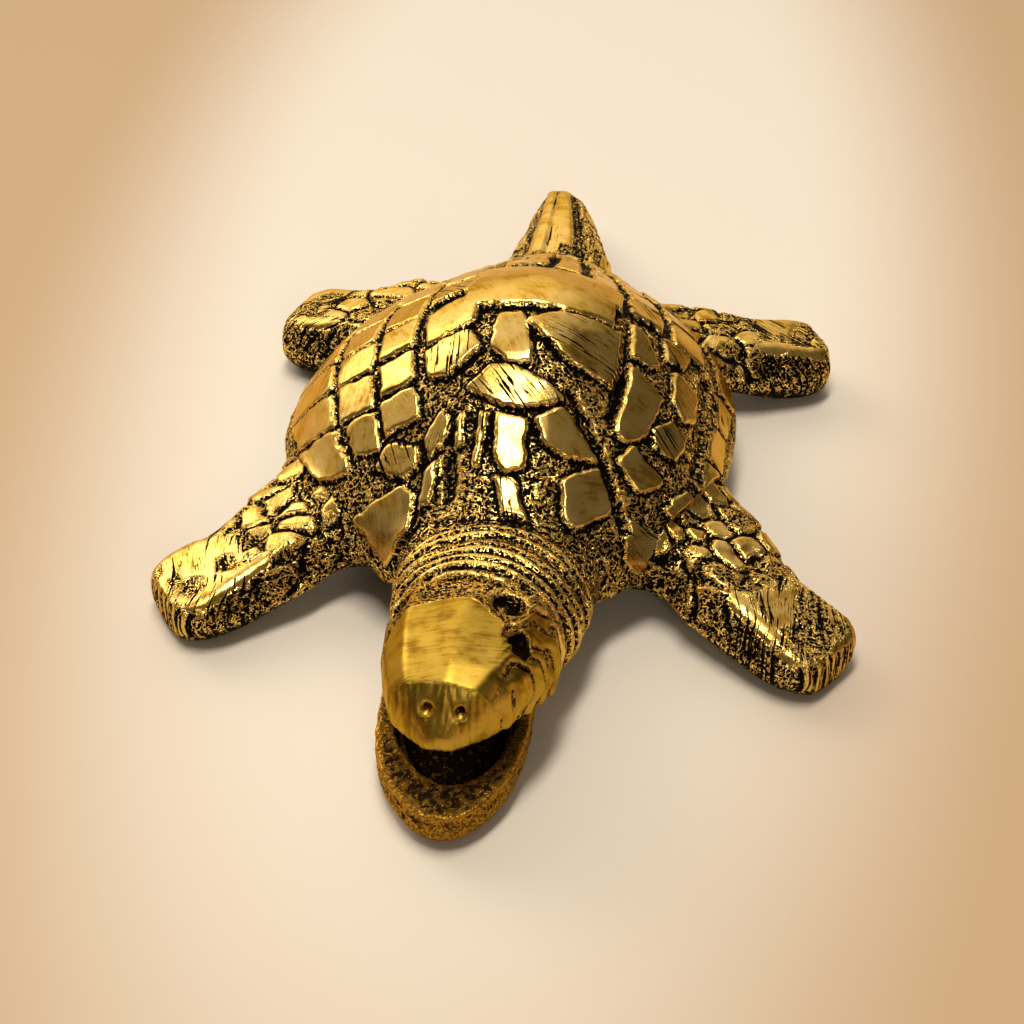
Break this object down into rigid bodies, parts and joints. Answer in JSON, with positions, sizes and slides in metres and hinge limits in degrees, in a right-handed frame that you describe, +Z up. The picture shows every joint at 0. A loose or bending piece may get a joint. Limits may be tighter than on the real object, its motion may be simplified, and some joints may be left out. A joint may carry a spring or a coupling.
{
  "type": "turtle figurine",
  "caption": "Antiqued cast-brass turtle figurine: domed shell with raised scutes, splayed paddle legs, blunt tail, and a gaping mouth with a filed beak over a scooped lower jaw.",
  "frame": {"origin": "on the floor plane under the middle of the figure", "axes": "+Z up, -Y towards the head and jaw, +Y towards the tail, +X to the turtle's own left"},
  "size_m": [0.0714, 0.1062, 0.0249],
  "materials": {
    "antiqued_brass": "cast brass, blackened in the recesses, high points filed and polished"
  },
  "bodies": {
    "root": {"carapace": "antiqued_brass", "plastron": "antiqued_brass", "neck": "antiqued_brass", "head": "antiqued_brass", "lower_jaw": "antiqued_brass", "front_right_leg": "antiqued_brass", "front_left_leg": "antiqued_brass", "rear_right_leg": "antiqued_brass", "rear_left_leg": "antiqued_brass", "tail": "antiqued_brass"}
  },
  "joints": []
}
